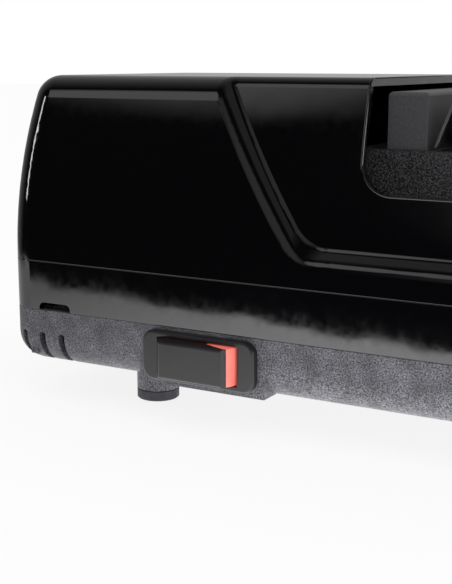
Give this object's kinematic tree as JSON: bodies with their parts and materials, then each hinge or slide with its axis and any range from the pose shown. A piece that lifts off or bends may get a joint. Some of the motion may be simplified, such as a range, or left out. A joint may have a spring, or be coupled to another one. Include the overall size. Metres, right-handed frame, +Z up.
{
  "type": "electric knife sharpener",
  "caption": "Bench sharpener with a gloss swept cover over a textured base, a rocker switch, sprung blade guides in a cut-away window and motor-driven abrasive discs.",
  "frame": {"origin": "on the ground under the middle of the case", "axes": "+X along the case from the motor end to the knife end, -Y to the front with the switch, +Z up"},
  "size_m": [0.254, 0.122, 0.108],
  "materials": {
    "gloss_black": "high gloss",
    "charcoal": "fine spark texture",
    "foot_rubber": "matte",
    "switch_grey": "satin",
    "rocker_black": "satin",
    "rocker_red": "translucent gloss",
    "guide_black": "coarse texture",
    "guide_grey": "smooth",
    "leaf_steel": "brushed",
    "disc_grit": "abrasive coated",
    "steel": "bright",
    "laminations": "varnished",
    "aluminium": "cast",
    "bronze": "sintered",
    "copper": "enamelled",
    "tin": "tinned",
    "bobbin": "natural nylon",
    "magnet": "ferrite",
    "wire_jacket": "smooth"
  },
  "bodies": {
    "rocker": {"rocker_cap": "rocker_black", "rocker_core": "rocker_red"},
    "drive": {"drive_shaft": "steel", "rotor_core": "laminations", "rotor_end_rings": "aluminium", "cooling_fan": "bobbin", "stop_collars": "steel", "disc_spring_1": "steel", "disc_spring_2": "steel", "disc_spring_3": "steel"},
    "disc_1_left": {"disc_1_left": "disc_grit"},
    "guide_leaf_1_left": {"guide_leaf_1_left": "leaf_steel"},
    "disc_1_right": {"disc_1_right": "disc_grit"},
    "guide_leaf_1_right": {"guide_leaf_1_right": "leaf_steel"},
    "disc_2_left": {"disc_2_left": "disc_grit"},
    "guide_leaf_2_left": {"guide_leaf_2_left": "leaf_steel"},
    "disc_2_right": {"disc_2_right": "disc_grit"},
    "guide_leaf_2_right": {"guide_leaf_2_right": "leaf_steel"},
    "disc_3_left": {"disc_3_left": "disc_grit"},
    "guide_leaf_3_left": {"guide_leaf_3_left": "leaf_steel"},
    "disc_3_right": {"disc_3_right": "disc_grit"},
    "guide_leaf_3_right": {"guide_leaf_3_right": "leaf_steel"},
    "case": {"upper_cover": "gloss_black", "case_band": "gloss_black", "base_tray": "charcoal", "cleanout_door": "charcoal", "foot_pads": "foot_rubber", "cord_gland": "foot_rubber", "switch_bezel": "switch_grey", "switch_body": "switch_grey", "guide_housing": "guide_black", "guide_block_1": "guide_grey", "guide_block_2": "guide_grey", "guide_block_3": "guide_grey", "guide_block_4": "guide_grey", "guide_ridge_1": "guide_grey", "guide_ridge_2": "guide_grey", "guide_ridge_3": "guide_grey", "case_screws": "steel", "motor_screws": "steel", "guide_screws": "steel", "door_screw": "steel", "motor_bolts": "steel", "motor_nuts": "steel", "stator_core": "laminations", "bracket_fan_end": "aluminium", "bracket_drive_end": "aluminium", "bearing_fan_end": "bronze", "bearing_drive_end": "bronze", "bearing_outboard": "bronze", "coil_winding": "copper", "switch_terminals": "tin", "coil_bobbin": "bobbin", "filings_magnet": "magnet", "lead_wires": "wire_jacket"}
  },
  "joints": [
    {"name": "rocker_tilt", "type": "hinge", "parent": "case", "child": "rocker", "pos_m": [-0.05, -0.0525, 0.0221], "axis": [0, 0, 1], "range_deg": [0, 12]},
    {"name": "shaft_spin", "type": "hinge", "parent": "case", "child": "drive", "pos_m": [0, 0, 0.072], "axis": [1, 0, 0], "continuous": true},
    {"name": "disc_1_left_slide", "type": "slide", "parent": "drive", "child": "disc_1_left", "axis": [1, 0, 0], "range_m": [0, 0.0015], "stiffness_N_per_m": 1500, "deforming": ["disc_spring_1"]},
    {"name": "guide_leaf_1_left_swing", "type": "hinge", "parent": "case", "child": "guide_leaf_1_left", "pos_m": [0.0221, 0, 0.1018], "axis": [0, -1, 0], "range_deg": [0, 8], "stiffness_Nm_per_rad": 0.25},
    {"name": "disc_1_right_slide", "type": "slide", "parent": "drive", "child": "disc_1_right", "axis": [-1, 0, 0], "range_m": [0, 0.0015], "stiffness_N_per_m": 1500, "deforming": ["disc_spring_1"]},
    {"name": "guide_leaf_1_right_swing", "type": "hinge", "parent": "case", "child": "guide_leaf_1_right", "pos_m": [0.0267, 0, 0.1018], "axis": [0, 1, 0], "range_deg": [0, 8], "stiffness_Nm_per_rad": 0.25},
    {"name": "disc_2_left_slide", "type": "slide", "parent": "drive", "child": "disc_2_left", "axis": [1, 0, 0], "range_m": [0, 0.0015], "stiffness_N_per_m": 1500, "deforming": ["disc_spring_2"]},
    {"name": "guide_leaf_2_left_swing", "type": "hinge", "parent": "case", "child": "guide_leaf_2_left", "pos_m": [0.0501, 0, 0.1018], "axis": [0, -1, 0], "range_deg": [0, 8], "stiffness_Nm_per_rad": 0.25},
    {"name": "disc_2_right_slide", "type": "slide", "parent": "drive", "child": "disc_2_right", "axis": [-1, 0, 0], "range_m": [0, 0.0015], "stiffness_N_per_m": 1500, "deforming": ["disc_spring_2"]},
    {"name": "guide_leaf_2_right_swing", "type": "hinge", "parent": "case", "child": "guide_leaf_2_right", "pos_m": [0.0547, 0, 0.1018], "axis": [0, 1, 0], "range_deg": [0, 8], "stiffness_Nm_per_rad": 0.25},
    {"name": "disc_3_left_slide", "type": "slide", "parent": "drive", "child": "disc_3_left", "axis": [1, 0, 0], "range_m": [0, 0.0015], "stiffness_N_per_m": 1500, "deforming": ["disc_spring_3"]},
    {"name": "guide_leaf_3_left_swing", "type": "hinge", "parent": "case", "child": "guide_leaf_3_left", "pos_m": [0.0781, 0, 0.1018], "axis": [0, -1, 0], "range_deg": [0, 8], "stiffness_Nm_per_rad": 0.25},
    {"name": "disc_3_right_slide", "type": "slide", "parent": "drive", "child": "disc_3_right", "axis": [-1, 0, 0], "range_m": [0, 0.0015], "stiffness_N_per_m": 1500, "deforming": ["disc_spring_3"]},
    {"name": "guide_leaf_3_right_swing", "type": "hinge", "parent": "case", "child": "guide_leaf_3_right", "pos_m": [0.0827, 0, 0.1018], "axis": [0, 1, 0], "range_deg": [0, 8], "stiffness_Nm_per_rad": 0.25}
  ]
}
